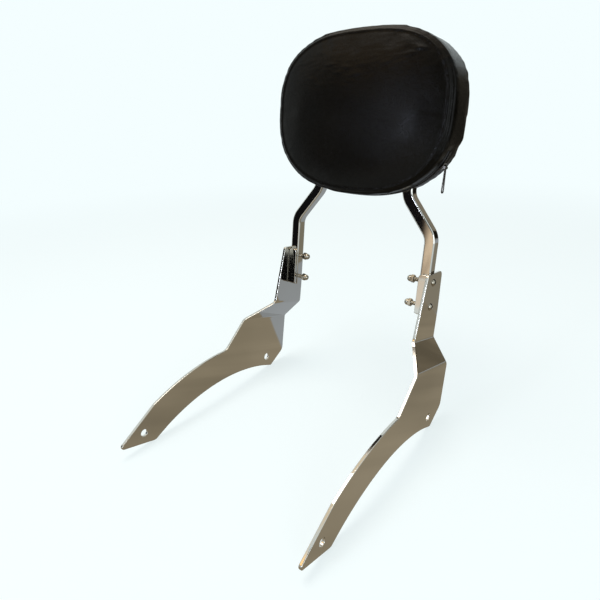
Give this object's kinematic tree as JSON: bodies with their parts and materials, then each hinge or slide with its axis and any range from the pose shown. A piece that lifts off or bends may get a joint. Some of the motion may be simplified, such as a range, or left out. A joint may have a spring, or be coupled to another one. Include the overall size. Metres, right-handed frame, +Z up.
{
  "type": "sissy bar",
  "caption": "Passenger backrest upright for a motorbike: two jogged side plates, a bent square hoop bolted between them and a padded back cushion.",
  "frame": {"origin": "on the ground plane under the lower corners of the side plates, midway between the plates and midway along the whole depth", "axes": "+Z up, +X to the right side plate for someone who looks at the front of the pad, -Y the way the plates' arms point (towards the front of the bike)"},
  "size_m": [0.3, 0.396, 0.5116],
  "materials": {
    "mirror_chrome": "mirror polished chrome plate",
    "bright_hardware": "bright plated, slightly dulled",
    "foam": "open cell foam",
    "board": "thin plywood",
    "black_vinyl": "grained black vinyl, satin",
    "zip_cloth": "woven zip tape",
    "zip_metal": "darkened nickel"
  },
  "bodies": {
    "frame_and_pad": {"side_plate_left": "mirror_chrome", "side_plate_right": "mirror_chrome", "upright_tube": "mirror_chrome", "foot_strap_left": "mirror_chrome", "foot_strap_right": "mirror_chrome", "screw_left_upper": "bright_hardware", "screw_left_lower": "bright_hardware", "screw_right_upper": "bright_hardware", "screw_right_lower": "bright_hardware", "dome_nut_left_upper": "bright_hardware", "dome_nut_left_lower": "bright_hardware", "dome_nut_right_upper": "bright_hardware", "dome_nut_right_lower": "bright_hardware", "pad_foam": "foam", "pad_board": "board", "pad_back_foam": "foam", "cover_front": "black_vinyl", "cover_band": "black_vinyl", "cover_back": "black_vinyl", "zip_tape": "zip_cloth", "zip_teeth": "zip_metal", "zip_slider": "zip_metal"},
    "pull_tab": {"zip_pull": "zip_metal"}
  },
  "joints": [
    {"name": "pull_swing", "type": "hinge", "parent": "frame_and_pad", "child": "pull_tab", "pos_m": [0.12228, 0.14787, 0.34647], "axis": [0, -0.9893, 0.1461], "range_deg": [-34, 140]}
  ]
}
